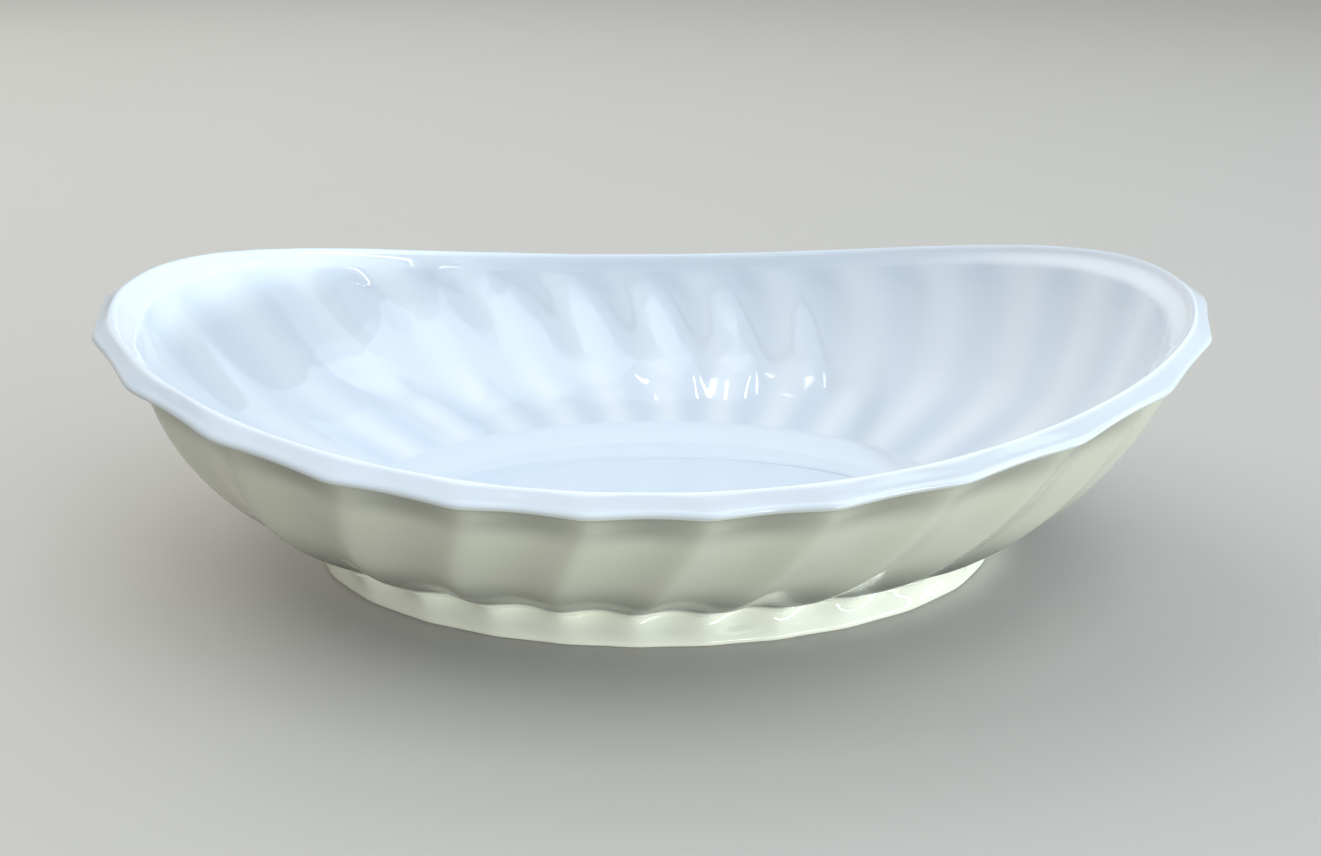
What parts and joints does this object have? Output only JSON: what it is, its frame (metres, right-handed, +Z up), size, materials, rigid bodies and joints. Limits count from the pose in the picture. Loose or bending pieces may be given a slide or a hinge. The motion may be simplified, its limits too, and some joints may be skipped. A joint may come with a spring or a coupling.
{
  "type": "oval footed serving bowl",
  "caption": "Open oval serving bowl in glazed porcelain, with swirled flutes, a lip that dips along its sides, a flat well and a low foot ring.",
  "frame": {"origin": "centre of the plane that the foot ring rests on", "axes": "+X along the bowl's length, +Y across it, +Z up out of the bowl"},
  "size_m": [0.2823, 0.1858, 0.075],
  "materials": {
    "glaze": "glossy clear glaze over bluish white porcelain",
    "foot_glaze": "glossy clear glaze, a little creamier than the bowl, wiped bare where it stands"
  },
  "bodies": {
    "root": {"bowl": "glaze", "foot_ring": "foot_glaze"}
  },
  "joints": []
}
